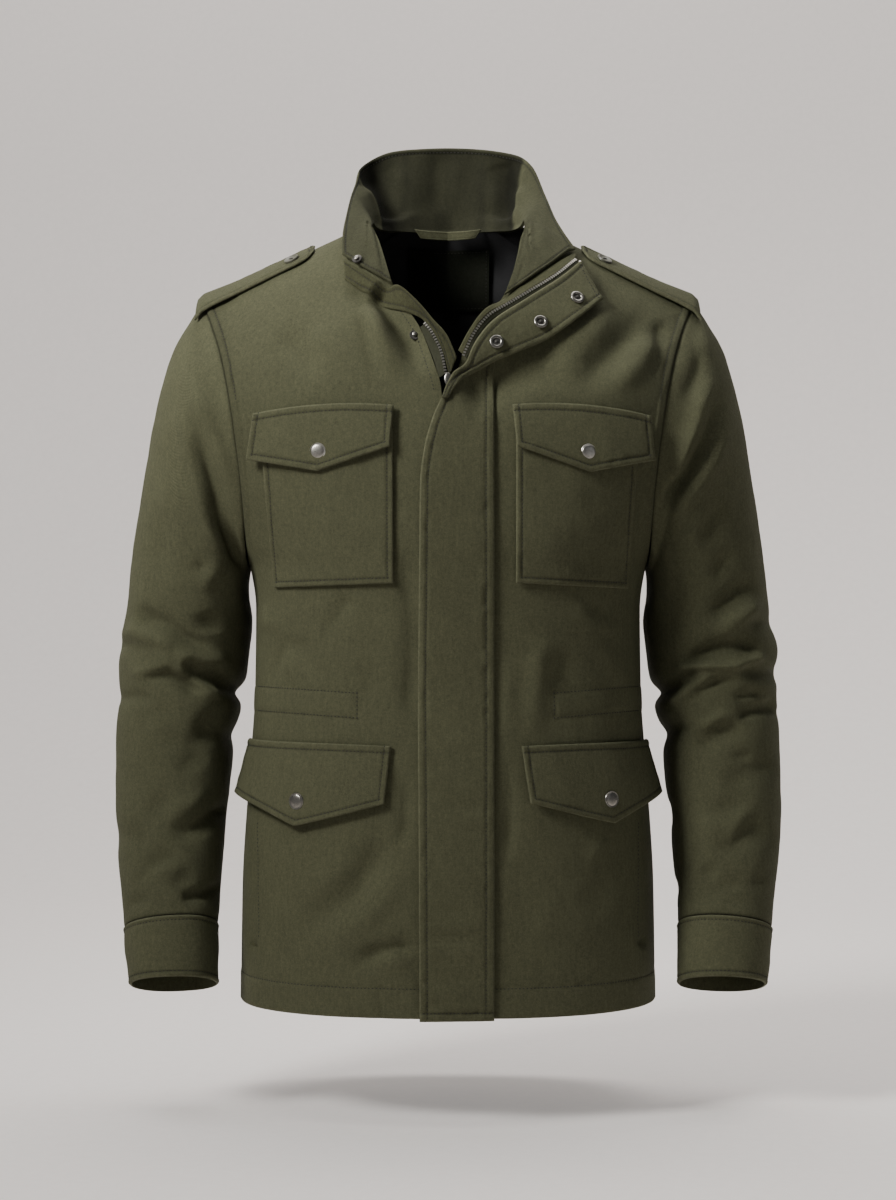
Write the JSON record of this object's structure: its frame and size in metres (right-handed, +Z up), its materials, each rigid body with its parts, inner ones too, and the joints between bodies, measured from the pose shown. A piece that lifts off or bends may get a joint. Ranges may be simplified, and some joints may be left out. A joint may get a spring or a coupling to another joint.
{
  "type": "field jacket",
  "caption": "Olive cotton field jacket filled out as worn, stand collar open at the neck, storm flap over a zip, flapped chest and hip pockets, shoulder straps and plain cuffs",
  "frame": {"origin": "midway between the shoulders, level with the neck points, where the wearer's shoulders carry the jacket", "axes": "+Z up along the body, -Y out of the front, +X to the wearer's left"},
  "size_m": [0.6242, 0.2715, 0.8061],
  "materials": {
    "cloth": "dark olive cotton twill, matte, tonal top stitching",
    "lining": "near-black satin lining with a soft sheen",
    "zip_tape": "dark olive woven zip tape",
    "label": "plain dark woven patch with nothing on it",
    "metal": "aged nickel, satin",
    "button": "dark olive moulded button"
  },
  "bodies": {
    "root": {"back_left_lower": "cloth", "back_left_upper": "cloth", "back_right_lower": "cloth", "back_right_upper": "cloth", "chest_flap_left": "cloth", "chest_flap_right": "cloth", "chest_pocket_left": "cloth", "chest_pocket_right": "cloth", "collar": "cloth", "cuff_left": "cloth", "cuff_right": "cloth", "epaulette_left": "cloth", "epaulette_right": "cloth", "front_left_lower": "cloth", "front_left_upper": "cloth", "front_right_lower": "cloth", "front_right_upper": "cloth", "hanger_loop": "cloth", "hip_flap_left": "cloth", "hip_flap_right": "cloth", "sleeve_left_back_lower": "cloth", "sleeve_left_back_upper": "cloth", "sleeve_left_front_lower": "cloth", "sleeve_left_front_upper": "cloth", "sleeve_right_back_lower": "cloth", "sleeve_right_back_upper": "cloth", "sleeve_right_front_lower": "cloth", "sleeve_right_front_upper": "cloth", "storm_flap": "cloth", "storm_flap_lapel": "cloth", "zip_facing": "cloth", "zip_guard": "cloth", "chest_snap_right": "metal", "chest_snap_left": "metal", "hip_snap_right": "metal", "hip_snap_left": "metal", "lapel_socket_upper": "metal", "lapel_socket_middle": "metal", "lapel_socket_lower": "metal", "collar_stud": "metal", "front_stud": "metal", "zip_chain": "metal", "zip_slider": "metal", "zip_pull": "metal", "neck_lining": "lining", "neck_label": "label", "size_tag": "label", "zip_tape_right": "zip_tape", "zip_tape_left": "zip_tape", "epaulette_button_right": "button", "epaulette_button_left": "button"}
  },
  "joints": []
}
